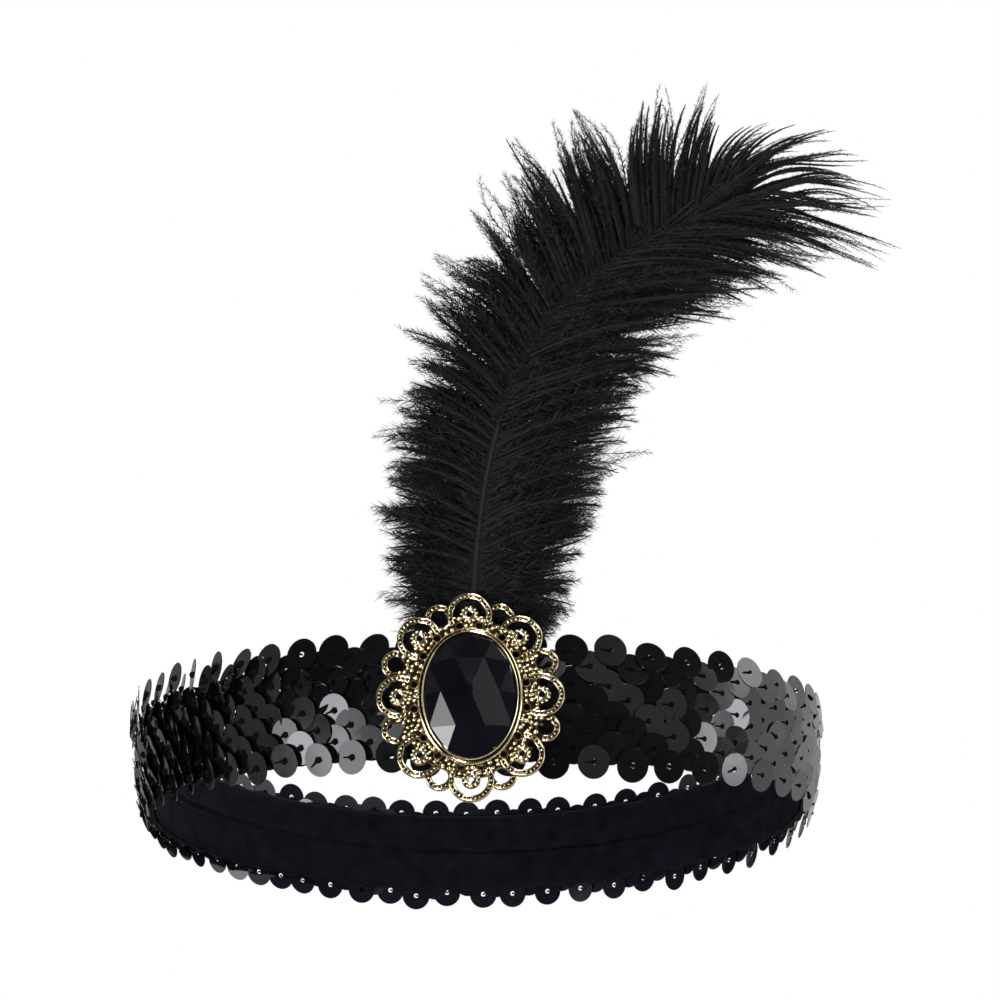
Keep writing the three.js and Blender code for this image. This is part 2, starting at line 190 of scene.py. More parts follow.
# and how far the wisps' ends curl down, as a part of their length
CURL = {"left": [(0.78, 0.0), (0.92, -0.14), (1.0, -0.26)], "right": [(1.0, 0.0)]}
# The strands past the quill's tip: where they root, the ways they point in degrees and how they differ
TUFT = Values(
    strands=18, barbs_each=4, root=0.86, lowest=-24.0, middle=8.0, highest=38.0,
    spread=1.5, length_spread=0.05, fan=0.16, bow=0.14, root_spread=0.04, part=(0.7, 1),
    scatter=0.45,
)
# Their length, by the way they point
TUFT_LENGTHS = [(-24, 31), (-16, 38), (-8, 36.5), (3, 33), (16, 31), (32, 27), (41, 25)]
# A barb's stem: its radius and tone by share of the barb's length. It is darkest at the quill, so that the
# stems don't show there as a comb.
STEM_RADIUS = [(0, 0.45), (0.35, 0.38), (0.75, 0.18), (1, 0.05)]
STEM_TONE = [(0, 0.15), (0.35, 1)]
# The down: its length by share of the quill's length, then by share of the barb's length the part of that,
# how far it opens in degrees and half its width
DOWN_LENGTH = [(0.15, 4.2), (0.35, 3.8), (0.5, 3.0), (0.65, 2.6), (0.8, 2.1), (1.0, 0.8)]
DOWN_TAPER = [(0, 0.35), (0.2, 0.65), (0.45, 1), (0.75, 0.85), (1, 0.4)]
DOWN_OPENING = [(0, 22), (0.4, 42)]
DOWN_HALF_WIDTH = [(0, 0.2), (0.45, 0.12), (0.8, 0.05)]
DOWN = Values(
    spacing=0.15, fewest=8, roll=0.8, parts=(0.55, 1.15), opening_spread=8, bend=0.45,
    bend_spread=0.18, droop=-0.12, middle=0.55, middle_width=0.8, tone=0.8,
)

# Colours from dark to light, as linear red, green and blue
ELASTIC_COLOURS = [(0.3, (0.0022, 0.002, 0.0038)), (0.75, (0.005, 0.0047, 0.0086))]
SEQUIN_COLOURS = [
    (0.0, (0.0016, 0.0016, 0.0019)), (0.5, (0.0038, 0.0038, 0.0045)),
    (0.6, (0.0048, 0.005, 0.0085)), (1.0, (0.0048, 0.005, 0.0085)),
]
# The gilt runs from dark brown, used as painted shade, through gold to near white, used as a painted
# highlight
GILT_COLOURS = [(0.0, (0.03, 0.013, 0.004)), (0.4, (0.72, 0.47, 0.18)), (0.85, (1.0, 0.93, 0.66))]
STONE_COLOURS = [(0.3, (0.0016, 0.0016, 0.0029)), (0.7, (0.0034, 0.0032, 0.0058))]
FLOOR_COLOURS = [(0.0, (0.82, 0.82, 0.82)), (1.0, (0.86, 0.86, 0.86))]
# Darkest and lightest grey of the other materials
GREYS = {
    "thread": (0.0012, 0.0034), "backing": (0.004, 0.008), "barbs": (0.006, 0.012), "quill": (0.005, 0.013),
}

# The photograph's camera
CAMERA = Values(place=(8.63, -554.25, -121.57), aim=(6.19, -78.0, 39.38), roll=-0.89, lens=93.6)
# How bright the surroundings are, from in front of the object to behind it and from its left to its right
BACKDROP = {
    "Y": {"From Min": -0.22, "From Max": -0.06, "To Min": 0.05, "To Max": 1.0},
    "X": {"From Min": -0.5, "From Max": 1.0, "To Min": 0.26, "To Max": 1.17},
}
# Name, place in metres, size in metres and radiance of each soft light
LIGHTS = [
    ("left_softbox_low", (-0.786, -0.428, -0.263), (0.38, 0.25), 9.4),
    ("left_softbox_high", (-0.82, -0.443, -0.063), (0.5, 0.155), 4.4),
    ("right_panel", (0.655, -0.733, 0.23), (0.4, 0.74), 0.4),
    ("right_strip", (0.87, -0.233, 0.0), (0.1, 0.35), 9.0),
    ("right_softbox_high", (0.796, 0.07, 0.6), (0.55, 0.4), 2.6),
    ("top_softbox", (0.0, 0.15, 1.0), (0.4, 0.4), 14.0),
    ("left_key", (-0.22, -0.88, -0.42), (0.175, 0.175), 61.0),
    ("top_key", (0.066, -0.752, 0.656), (0.13, 0.13), 84.0),
]
# A soft wash from above that keeps the floor near white
FLOOR_WASH = Values(energy=2.55, angle=math.radians(60))
FLOOR = Values(height=-450.0, half_side=9000.0)


# Mesh helpers
def add_object(name, data):
    made = bpy.data.objects.new(name, data)
    bpy.context.scene.collection.objects.link(made)
    return made


def mesh_object(name, points, faces, material, uv=None, tone=None, sharp=None):
    """A mesh from points in mm and faces, with smooth shading that breaks at a sharp angle in degrees."""
    mesh = bpy.data.meshes.new(name)
    points = np.asarray(points, float).reshape(-1, 3) * MM
    mesh.from_pydata(points.tolist(), [], [list(f) for f in faces])
    mesh.polygons.foreach_set("use_smooth", np.ones(len(mesh.polygons), bool))
    if sharp is not None:
        mesh.set_sharp_from_angle(angle=math.radians(sharp))
    if uv is not None:
        layer = mesh.uv_layers.new(name="uv")
        loops = np.empty(len(mesh.loops), np.int32)
        mesh.loops.foreach_get("vertex_index", loops)
        layer.data.foreach_set("uv", np.asarray(uv, np.float32).reshape(-1, 2)[loops].ravel())
    if tone is not None:
        values = np.asarray(tone, np.float32).ravel()
        mesh.attributes.new("tone", "FLOAT", "POINT").data.foreach_set("value", values)
    mesh.materials.append(material)
    return add_object(name, mesh)


def grid_faces(rows, columns, wrap_rows=False):
    """Quads of a grid of points numbered row by row, whose columns close to a ring."""
    r, c = np.meshgrid(np.arange(rows if wrap_rows else rows - 1), np.arange(columns), indexing="ij")
    r2, c2 = (r + 1) % rows, (c + 1) % columns
    quads = [r * columns + c, r * columns + c2, r2 * columns + c2, r2 * columns + c]
    return np.stack([q.ravel() for q in quads], -1)


def repeated(faces, count, stride):
    """The same faces for each of several copies of a shape with that many points."""
    return (faces[None] + (np.arange(count) * stride)[:, None, None]).reshape(-1, faces.shape[1])


def joined(parts):
    """Several (points, faces) as one."""
    points, faces, start = [], [], 0
    for part_points, part_faces in parts:
        points.append(part_points)
        faces += [tuple(v + start for v in f) for f in part_faces]
        start += len(part_points)
    return np.vstack(points), faces


def unit(v):
    return v / np.linalg.norm(v, axis=-1, keepdims=True)


def turns(count):
    """Angles evenly round a circle, in radians."""
    return np.arange(count) / count * math.tau


def from_table(value, table):
    """The second column of a table at a value of the first, in between by straight lines."""
    return np.interp(value, *np.array(table, float).T)


def hump(value, centre, half_width):
    return np.exp(-(((value - centre) / half_width) ** 2))


def tubes(paths, radii, sides):
    """Open-ended tubes along many paths at once: paths (n, k, 3), radii (n, k)."""
    tangent = unit(np.gradient(paths, axis=1))
    reference = np.where(np.abs(tangent[..., 2:]) > 0.9, [[[1.0, 0, 0]]], [[[0, 0, 1.0]]])
    side = unit(np.cross(tangent, reference))
    other = np.cross(tangent, side)
    turn = turns(sides)
    ring = side[:, :, None] * np.cos(turn)[:, None] + other[:, :, None] * np.sin(turn)[:, None]
    points = paths[:, :, None] + ring * radii[:, :, None, None]
    n, k = paths.shape[:2]
    faces = repeated(grid_faces(k, sides), n, k * sides)
    return points.reshape(-1, 3), faces


def add_piece(node, slot, *mesh, **looks):
    """A piece of the visual model, which takes the place of a CAD node if one is given."""
    piece = mesh_object(*mesh, **looks)
    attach(piece, "root")
    if node:
        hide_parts(node)


# Material helpers
def add_node(tree, kind, inputs=(), **settings):
    """A node with its settings, and its inputs set to values or linked to other nodes' outputs."""
    made = tree.nodes.new(kind)
    for key, value in settings.items():
        setattr(made, key, value)
    for key, value in dict(inputs).items():
        if isinstance(value, bpy.types.NodeSocket):
            tree.links.new(value, made.inputs[key])
        else:
            made.inputs[key].default_value = value
    return made


class Shader:
    """A Principled material whose nodes are added by short calls."""

    def __init__(self, name, **values):
        self.material = bpy.data.materials.new(name)
        self.material.use_nodes = True
        self.tree = self.material.node_tree
        self.bsdf = self.tree.nodes["Principled BSDF"]
        for key, value in values.items():
            self.bsdf.inputs[key.replace("_", " ")].default_value = value

    def node(self, kind, inputs=(), **settings):
        return add_node(self.tree, kind, inputs, **settings)

    def math(self, operation, a, b=0.0):
        return self.node("ShaderNodeMath", {0: a, 1: b}, operation=operation).outputs[0]

    def colour(self, factor, stops):
        made = self.node("ShaderNodeValToRGB", {"Fac": factor})
        elements = made.color_ramp.elements
        while len(elements) < len(stops):
            elements.new(0.5)
        for element, (position, colour) in zip(elements, stops):
            element.position = position
            element.color = (*colour, 1)
        self.link("Base Color", made.outputs["Color"])

    def roughness(self, scale, detail, low, high):
        inputs = {"Value": self.noise(scale, detail), "To Min": low, "To Max": high}
        self.link("Roughness", self.node("ShaderNodeMapRange", inputs).outputs["Result"])

    def noise(self, scale, detail):
        place = self.node("ShaderNodeTexCoord").outputs["Object"]
        inputs = {"Scale": scale, "Detail": detail, "Vector": place}
        return self.node("ShaderNodeTexNoise", inputs).outputs["Fac"]

    def uv_parts(self):
        uv = self.node("ShaderNodeUVMap", uv_map="uv").outputs["UV"]
        return self.node("ShaderNodeSeparateXYZ", {"Vector": uv}).outputs

    def tone(self):
        return self.node("ShaderNodeAttribute", attribute_name="tone").outputs["Fac"]

    def bump(self, height, strength, distance):
        made = self.node("ShaderNodeBump", {"Height": height, "Strength": strength, "Distance": distance})
        self.link("Normal", made.outputs["Normal"])

    def link(self, socket, value):
        self.tree.links.new(value, self.bsdf.inputs[socket])


def elastic_material():
    """Black knitted elastic: rows of small stitches, soft sheen and a little fluff."""
    s = Shader("elastic", Roughness=0.8, Specular_IOR_Level=0.03)
    parts = s.uv_parts()
    rib = s.math("SINE", s.math("MULTIPLY", parts["Y"], math.tau / KNIT.rib))
    steps = s.math("MULTIPLY", parts["X"], math.tau / KNIT.stitch)
    stitch = s.math("SINE", s.math("ADD", steps, s.math("MULTIPLY", rib, KNIT.slant)))
    height = s.math("ADD", s.math("MULTIPLY", rib, 0.5), s.math("MULTIPLY", stitch, 0.35))
    s.bump(s.math("ADD", height, s.noise(1800.0, 4.0)), 0.35, 0.00012)
    s.colour(s.noise(260.0, 3.0), ELASTIC_COLOURS)
    return s.material


def sequin_material():
    """Black gloss plastic: fine turned rings, a tone for each sequin, faint scuffs and a navy underside."""
    s = Shader("sequin", Specular_IOR_Level=0.55, Specular_Tint=(0.94, 0.96, 1.0, 1.0))
    rings = s.math("SINE", s.math("MULTIPLY", s.uv_parts()["X"], math.tau / SEQUIN.ring_pitch))
    s.bump(rings, 0.02, 0.00004)
    s.colour(s.tone(), SEQUIN_COLOURS)
    s.roughness(900.0, 4.0, 0.09, 0.16)
    return s.material


def thread_material(name):
    """Matt black thread or ribbon with a fine twist, slightly blue."""
    s = Shader(name, Roughness=0.9, Specular_IOR_Level=0.05)
    twist = s.noise(5200.0, 2.0)
    s.bump(twist, 0.5, 0.00008)
    dark, light = ((grey, grey, grey * 1.17) for grey in GREYS[name])
    s.colour(twist, [(0.3, dark), (0.7, light)])
    return s.material


def gilt_material():
    """Pale gold plating, a little uneven, brown with painted shade in the hollows, palest as a painted
    highlight on the raised beads.
    """
    s = Shader("gilt", Metallic=1.0)
    wear = s.math("MULTIPLY", s.math("SUBTRACT", s.noise(420.0, 3.0), 0.5), 0.3)
    s.colour(s.math("ADD", s.tone(), wear), GILT_COLOURS)
    s.roughness(900.0, 3.0, 0.12, 0.2)
    s.bump(s.noise(2600.0, 3.0), 0.04, 0.00005)
    return s.material


def stone_material():
    """Polished black resin, faintly clouded."""
    s = Shader("stone", Specular_IOR_Level=0.5, Coat_Weight=0.3, Coat_Roughness=0.03)
    s.colour(s.noise(90.0, 2.0), STONE_COLOURS)
    s.roughness(1400.0, 2.0, 0.03, 0.08)
    return s.material


def barb_material(name, sheen):
    """Dyed feather: a tone for each strand, slightly blue where it is light."""
    s = Shader(name, Sheen_Weight=sheen, Sheen_Roughness=0.35, Specular_IOR_Level=0.12)
    dark, light = GREYS[name]
    s.colour(s.tone(), [(0.0, (dark,) * 3), (1.0, (light, light, light * 1.08))])
    s.roughness(700.0, 2.0, 0.4, 0.6)
    return s.material


# Band
def loop_point(angle, outwards, height):
    """A point by angle round the loop, distance out from the tape's inner face and height on the band."""
    across, along = np.cos(angle), np.sin(angle)
    lean = LOOP.side_lean * across**2 * height
    x = (LOOP.half_width + outwards + lean) * across
    y = (LOOP.half_depth + outwards + lean) * along
    z = height * (1 - LOOP.narrowing * along) + LOOP.saddle * across**2
    return np.stack([x, y, z], -1)


def loop_frame(angle, outwards, height):
    """A point of the band and its outward, forward (counter-clockwise) and upward directions."""
    step = 1e-3
    place = loop_point(angle, outwards, height)
    forward = unit(loop_point(angle + step, outwards, height) - place)
    upward = unit(loop_point(angle, outwards, height + step) - place)
    outward = unit(np.cross(forward, upward))
    return place, outward, forward, np.cross(outward, forward)


def make_tape():
    """A closed strip with rolled edges, a seam along its middle, a fold line and a join at the rear."""
    columns, half = 420, TAPE.width / 2
    heights = np.linspace(-half, half, 61)
    outer_heights = np.linspace(half, -half, 9)
    section_height = np.concatenate([heights, outer_heights])
    roll = TAPE.edge_roll * (np.abs(section_height) / half) ** 16
    inner = sum(depth * hump(heights, centre, width) for centre, width, depth in TAPE_LINES)
    outer = np.full(len(outer_heights), TAPE.thickness)
    section_out = np.concatenate([inner + roll[: len(heights)], outer - roll[len(heights):]])
    angle = turns(columns)
    ripple = sum(depth * np.sin(angle * number + start) for depth, number, start in TAPE_RIPPLES)
    near_seam = hump(section_height, 0, SEAM.half_width)
    outwards = section_out[None] + ripple[:, None] * (0.35 + near_seam[None])
    outwards[columns // 4, : len(heights)] += TAPE.join_depth
    wave = SEAM.wave * np.sin(angle * SEAM.waves)
    points = loop_point(angle[:, None], outwards, section_height[None] + wave[:, None] * near_seam[None])
    length = angle / math.tau * TAPE.length
    uv = np.stack(np.broadcast_arrays(length[:, None], section_height[None]), -1)
    faces = grid_faces(columns, len(section_out), wrap_rows=True)
    add_piece("elastic_band", "elastic", "elastic_tape", points, faces, elastic_material(), uv)


def sequin_places(rng):
    """Where each sequin's hole is and how the sequin is turned: place, outward, forward and upward rows."""
    turn = np.linspace(0, math.tau, 721)
    crowded = turn - CROWDING * np.sin(turn)
    draw = np.array(TRIM_DRAW, float).T
    bottom, top = SEQUIN_ROWS[0][0], SEQUIN_ROWS[-1][0]
    count = SEQUIN.per_row
    index = np.arange(count)
    frames = []
    for row, (row_height, row_lean, zigzag) in enumerate(SEQUIN_ROWS):
        step = (index + rng.normal(0, SEQUIN.uneven_along, count)) / count * math.tau
        angle = np.interp(step % math.tau, crowded, turn)
        from_right = (np.degrees(angle) + 180) % 360 - 180
        rise, drop = (np.interp(from_right, draw[0], column) for column in draw[1:])
        low = (top - row_height) / (top - bottom)
        height = row_height + rise * low - drop * (1 - low)
        height += np.where(index % 2, 1, -1) * zigzag + rng.normal(0, SEQUIN.uneven_across, count)
        outwards = SEQUIN.stand_off + SEQUIN.row_step * (row % 2) + SIDE_SWELL * np.cos(angle) ** 2
        place, out, ahead, up = loop_frame(angle, outwards, height)
        spread = from_table(from_right, TILT_SPREAD)
        shingle = np.radians(from_table(from_right, SEQUIN_TILT) + rng.normal(0, spread))[:, None]
        lean = row_lean * (1 - REAR_LEAN_LOSS * np.clip(np.sin(angle), 0, 1))
        tip = np.radians(lean + rng.normal(0, LEAN_SPREAD * spread))[:, None]
        face = out * np.cos(shingle) - ahead * np.sin(shingle)
        ahead = ahead * np.cos(shingle) + out * np.sin(shingle)
        face, up = face * np.cos(tip) + up * np.sin(tip), up * np.cos(tip) - face * np.sin(tip)
        frames.append(np.stack([place, face, ahead, up], 1))
    return np.concatenate(frames)


def make_sequins(frames, rng):
    """Thin flat round discs with a hole, all joined as one piece."""
    count, sides = len(frames), SEQUIN.sides
    radius, hole, thick = SEQUIN.radius, SEQUIN.hole, SEQUIN.thickness
    # radius and height of each ring of the disc's section, from the hole over the face and back underneath
    section = np.array([
        (hole, 0.0), (radius - 0.04, 0.0), (radius, -0.05), (radius - 0.03, -thick), (hole, -thick),
    ])
    face_rings = 3
    turn = turns(sides)
    r, h = section[:, 0, None], section[:, 1, None]
    grid = (len(section), sides)
    local = np.stack([np.broadcast_to(h, grid), r * np.cos(turn), r * np.sin(turn)], -1).reshape(-1, 3)
    points = frames[:, None, 0] + np.einsum("nk,skd->snd", local, frames[:, 1:])
    faces = grid_faces(*grid, wrap_rows=True)
    faces = repeated(faces, count, len(local))
    uv = np.stack([np.broadcast_to(r, grid), np.broadcast_to(turn, grid)], -1)
    uv = np.tile(uv, (count, 1, 1))
    tone = np.ones((count, *grid))
    tone[:, :face_rings] = 0.5 * rng.random(count)[:, None, None]
    add_piece("sequin_facing", "sequin", "sequins", points, faces, sequin_material(), uv, tone, sharp=25)


def make_sequin_threads(frames, rng):
    """A short stitch out of each hole and back under the neighbour that overlaps it."""
    along_reach, rise, taper = np.array(STITCH_PATH, float).T
    reach = rng.normal(*STITCH.reach, len(frames))
    place, face, ahead, up = (frames[:, i] for i in range(4))
    slant = rng.normal(*STITCH.slant, len(frames))
    path = place[:, None] + face[:, None] * rise[:, None]
    path = path - ahead[:, None] * (reach[:, None] * along_reach)[..., None]
    path = path + up[:, None] * (slant[:, None] * along_reach)[..., None]
    loose = rng.random(len(frames)) < from_table(place[:, 1], LOOSE)
    knot = np.where(loose, STITCH.loose_radius, from_table(place[:, 0], KNOT_RADIUS))[:, None]
    radii = knot * taper + STITCH.radius * (1 - taper)
    points, faces = tubes(path, radii, 5)
    add_piece(None, "sequin", "sequin_threads", points, faces, thread_material("thread"))


def make_backing():
    """The ribbon on the tape that the sequins are sewn to, with scalloped edges a little beyond the tape."""
    columns = SEQUIN.per_row * 4
    angle = turns(columns)
    half = BACKING.half_height + BACKING.scallop * np.cos(angle * SEQUIN.per_row / 2)
    inner = np.full(columns, TAPE.thickness - BACKING.sink)
    outer = inner + BACKING.thickness + BACKING.swell * SIDE_SWELL * np.cos(angle) ** 2
    outwards = np.stack([inner, inner, outer, outer], -1)
    heights = np.stack([-half, half, half, -half], -1)
    points = loop_point(angle[:, None], outwards, heights)
    faces = grid_faces(columns, 4, wrap_rows=True)
    material = thread_material("backing")
    add_piece("sequin_facing", "sequin", "sequin_backing", points, faces, material, sharp=30)


# Brooch, made in its own frame: x right, y up, z towards the viewer
def to_world(points):
    place = Matrix.Translation((0, -BROOCH.depth, BROOCH.height))
    m = np.array(place @ Matrix.Rotation(math.pi / 2 - math.radians(BROOCH.lean), 4, "X"))
    return points @ m[:3, :3].T + m[:3, 3]


def on_oval(oval, angle):
    return np.array([oval.half_width * math.cos(angle), oval.half_height * math.sin(angle)])


def half_turn(angle):
    """The same angle between half a turn back and half a turn ahead."""
    return math.atan2(math.sin(angle), math.cos(angle))


def arc(centre, radius, start, end, steps):
    turn = np.linspace(start, end, steps + 1)
    return centre + radius * np.stack([np.cos(turn), np.sin(turn)], -1)


def circle(centre, radius, sides, start=0.0):
    return arc(centre, radius, start, math.tau + start, sides)[:-1]


def crossing(lobe, other):
    """Where two neighbouring lobes cross on the outside, as a turn from the way the first lobe points."""
    gap = other.centre - lobe.centre
    apart = np.hypot(*gap)
    cosine = (lobe.radius ** 2 + apart**2 - other.radius ** 2) / (2 * lobe.radius * apart)
    both = math.atan2(gap[1], gap[0]) + math.acos(cosine) * np.array([1, -1])
    ends = lobe.centre + lobe.radius * np.stack([np.cos(both), np.sin(both)], -1)
    return half_turn(both[np.hypot(*ends.T).argmax()] - lobe.outward)


def lobe_table():
    """Large and small lobes in turn: their centres, the way they point and where their outlines cross."""
    lobes = []
    for k in range(2 * LOBES):
        spec = SMALL_LOBE if k % 2 else LARGE_LOBE
        angle = k / (2 * LOBES) * math.tau
        outward = math.atan2(math.sin(angle) / spec.half_height, math.cos(angle) / spec.half_width)
        place = {"angle": angle, "centre": on_oval(spec, angle), "outward": outward}
        lobes.append(Values(**vars(spec), **place, large=k % 2 == 0))
    for k, lobe in enumerate(lobes):
        lobe.before = lobe.outward + crossing(lobe, lobes[k - 1])
        lobe.after = lobe.outward + crossing(lobe, lobes[(k + 1) % len(lobes)])
    return lobes


def pin_holes(lobes):
    sides = (-PIN_HOLE.offset, PIN_HOLE.offset)
    return [on_oval(PIN_HOLE, lobe.angle + side) for lobe in lobes if lobe.large for side in sides]


def flat_metal(outlines, low, high, rounding):
    """A plate between two heights with rounded edges: the first outline with the others cut out of it."""
    curve = bpy.data.curves.new("outline", "CURVE")
    curve.dimensions = "2D"
    curve.fill_mode = "BOTH"
    curve.bevel_depth = rounding
    curve.bevel_resolution = 2
    curve.offset = -rounding
    curve.extrude = (high - low) / 2 - rounding
    for outline in outlines:
        spline = curve.splines.new("POLY")
        spline.points.add(len(outline) - 1)
        flat = np.column_stack([outline, np.zeros(len(outline)), np.ones(len(outline))])
        spline.points.foreach_set("co", flat.ravel())
        spline.use_cyclic_u = True
    holder = add_object("outline", curve)
    mesh = bpy.data.meshes.new_from_object(holder.evaluated_get(bpy.context.evaluated_depsgraph_get()))
    points = np.empty(len(mesh.vertices) * 3)
    mesh.vertices.foreach_get("co", points)
    faces = [tuple(p.vertices) for p in mesh.polygons]
    bpy.data.objects.remove(holder)
    bpy.data.curves.remove(curve)
    bpy.data.meshes.remove(mesh)
    return points.reshape(-1, 3) + [0, 0, (low + high) / 2], faces


def beads(spots, height, radii):
    """Low round beads centred at a height: the upper two thirds of a ball, a little squashed."""
    squash, sides = 0.85, 8
    lift = np.radians([-25, 0, 25, 52, 75])
    turn = turns(sides)
    around, high = np.cos(lift)[:, None], squash * np.sin(lift)[:, None]
    ball = np.stack(np.broadcast_arrays(around * np.cos(turn), around * np.sin(turn), high), -1)
    ball = np.vstack([ball.reshape(-1, 3), [[0, 0, squash]]])
    top = len(ball) - 1
    last = top - sides
    faces = [*grid_faces(len(lift), sides)]
    faces += [(last + i, last + (i + 1) % sides, top) for i in range(sides)]
    centres = np.column_stack([spots, np.full(len(spots), height)])
    points = centres[:, None] + ball[None] * np.asarray(radii)[:, None, None]
    faces = [tuple(v + n * len(ball) for v in f) for n in range(len(centres)) for f in faces]
    return points.reshape(-1, 3), faces


def ring_along(path, section):
    """A closed band along a flat closed path: section rows of (distance out from the path, height)."""
    ahead = np.roll(path, -1, 0) - np.roll(path, 1, 0)
    out = unit(np.stack([ahead[:, 1], -ahead[:, 0]], -1))
    flat = path[:, None] + out[:, None] * section[:, 0, None]
    high = np.broadcast_to(section[:, 1, None], (len(path), len(section), 1))
    points = np.concatenate([flat, high], -1).reshape(-1, 3)
    return points, grid_faces(len(path), len(section), wrap_rows=True)


def round_ring(centre, ring, height):
    section = circle(np.zeros(2), ring.section, ring.sides) + [0, height + ring.lift]
    return ring_along(circle(centre, ring.radius, ring.steps), section)


def rim_turns(lobe):
    """The turns a lobe's beaded wire runs between: the large lobes' wires run on inside the small ones."""
    if lobe.large:
        return lobe.outward - RIM.half_angle, lobe.outward + RIM.half_angle
    return lobe.before + RIM.inset, lobe.after - RIM.inset


def rim_bead_spots(lobes):
    """Places of the beads along the middle of each lobe's rim."""
    spots = []
    for lobe in lobes:
        middle = lobe.radius - lobe.wire / 2
        start, end = rim_turns(lobe)
        steps = round(middle * (end - start) / RIM_BEAD.pitch)
        spots.append(arc(lobe.centre, middle, start, end, steps))
    return np.vstack(spots)


def rim_strands(lobes, places, thickness, height):
    """Smooth strands along each lobe's rim, at places from its outer edge (0) to its inner edge (1)."""
    paths = []
    for lobe in lobes:
        start, end = rim_turns(lobe)
        for place in places:
            flat = arc(lobe.centre, lobe.radius - place * lobe.wire, start, end, 24)
            paths.append(np.column_stack([flat, np.full(len(flat), height)]))
    paths = np.array(paths)
    return tubes(paths, np.full(paths.shape[:2], thickness), 8)


def granule_spots(lobes, taken, rng):
    """Granules on the plate between the bezel and the lobes, clear of its openings and the beads taken."""
    holes = np.array(pin_holes(lobes))
    small = np.array([lobe.centre for lobe in lobes if not lobe.large])
    large = np.array([lobe.centre for lobe in lobes if lobe.large])
    outward = np.array([lobe.outward for lobe in lobes if lobe.large])
    crescent = CRESCENT_HALF_ANGLE + GRANULE.crescent_margin
    kept, sizes = list(taken), []
    for _ in range(GRANULE.tries):
        angle = rng.random() * math.tau
        spot = on_oval(STONE, angle) * (GRANULE.nearest + GRANULE.range * rng.random())
        size = GRANULE.smallest + GRANULE.spread * rng.random()
        if np.hypot(*(spot / GRANULE.inner)) < 1 or np.hypot(*(spot / GRANULE.outer)) > 1:
            continue
        if np.hypot(*(holes - spot).T).min() < PIN_HOLE.radius + GRANULE.from_hole + size * 0.7:
            continue
        if np.hypot(*(small - spot).T).min() < SMALL_LOBE.radius - SMALL_LOBE.wire + size * 0.7:
            continue
        away = spot - large
        distance = np.hypot(*away.T)
        near = distance.argmin()
        in_crescent = abs(half_turn(np.arctan2(away[near, 1], away[near, 0]) - outward[near])) < crescent
        if distance[near] < EYE.radius + size * 0.3:
            continue
        if in_crescent and distance[near] < LARGE_LOBE.radius:
            continue
        if np.hypot(*(np.array(kept) - spot).T).min() < size + GRANULE.apart:
            continue
        kept.append(spot)
        sizes.append(size)
    return np.array(kept[len(taken):]), np.array(sizes)


def plate_outlines(lobes):
    """The pierced plate's outline, followed by its openings."""
    outline = [arc(lobe.centre, lobe.radius, lobe.before, lobe.after, lobe.steps)[:-1] for lobe in lobes]
    holes = [circle(spot, PIN_HOLE.radius, 16) for spot in pin_holes(lobes)]
    for lobe in lobes:
        inside = lobe.radius - lobe.wire
        if not lobe.large:
            holes.append(circle(lobe.centre, inside, 26))
            continue
        low, high = lobe.outward - CRESCENT_HALF_ANGLE, lobe.outward + CRESCENT_HALF_ANGLE
        outer = arc(lobe.centre, inside, low, high, 24)
        holes.append(np.vstack([outer, arc(lobe.centre, EYE.radius, high, low, 16)]))
        holes.append(circle(lobe.centre, EYE.hole, 14))
    return [np.vstack(outline), *holes]


def plate_relief(lobes, top, rng):
    """Beads, strands and granules on the plate, the eyes' rings and the collars round the pin holes."""
    rim_spots = rim_bead_spots(lobes)
    spots, sizes = granule_spots(lobes, rim_spots, rng)
    relief = [
        beads(rim_spots, top - RIM_BEAD.sink, np.full(len(rim_spots), RIM_BEAD.radius)),
        rim_strands(lobes, RIM.strand_places, RIM.strand, top),
        beads(spots, top - GRANULE.sink, sizes),
    ]
    for lobe in lobes:
        if lobe.large:
            relief.append(round_ring(lobe.centre, EYE_RING, top))
            count = EYE_BEADS.count
            ring = circle(lobe.centre, EYE_BEADS.circle, count, EYE_BEADS.start)
            relief.append(beads(ring, top, np.full(count, EYE_BEADS.radius)))
    relief += [round_ring(spot, COLLAR, top) for spot in pin_holes(lobes)]
    return relief


def make_brooch(rng):
    """The pierced plate with its relief, the plain back plate and the bezel, as one piece."""
    lobes = lobe_table()
    top = BROOCH.plate_top
    plate = flat_metal(plate_outlines(lobes), BROOCH.plate_low, top, BROOCH.rounding)
    relief = plate_relief(lobes, top, rng)
    turn = turns(120)
    girdle = np.stack([STONE.half_width * np.cos(turn), STONE.half_height * np.sin(turn)], -1)
    section = np.array(BEZEL, float)
    bezel = ring_along(girdle, section[:, :2])
    back = flat_metal([girdle * BACK_PLATE.scale], 0.0, BACK_PLATE.thickness, BACK_PLATE.rounding)
    # a sunk strand along each rim, there to show painted shade between the beads
    shade_channel = rim_strands(lobes, [0.5], SHADE_CHANNEL.radius, top - SHADE_CHANNEL.drop)
    points, faces = joined([plate, back, bezel, *relief, shade_channel])
    flat_count, bezel_count = len(plate[0]) + len(back[0]), len(bezel[0])
    # Painted light: the relief is dark brown as painted shade where it meets the plate and palest as a
    # painted highlight on top
    tone = np.clip((points[:, 2] - GILT_PAINTED_LIGHT.dark_below) / GILT_PAINTED_LIGHT.rise, 0, 1)
    # the flat plate and the back plate are kept dark as painted shade
    tone[:flat_count] = GILT_PAINTED_LIGHT.plate
    # the bezel's painted highlight and painted shade, by its section
    tone[flat_count:flat_count + bezel_count] = np.tile(section[:, 2], len(girdle))
    # Painted shade: the sunk strand is the darkest brown
    tone[len(points) - len(shade_channel[0]):] = 0
    points, gilt = to_world(points), gilt_material()
    add_piece("brooch_setting", "gilt", "brooch_filigree", points, faces, gilt, tone=tone, sharp=50)


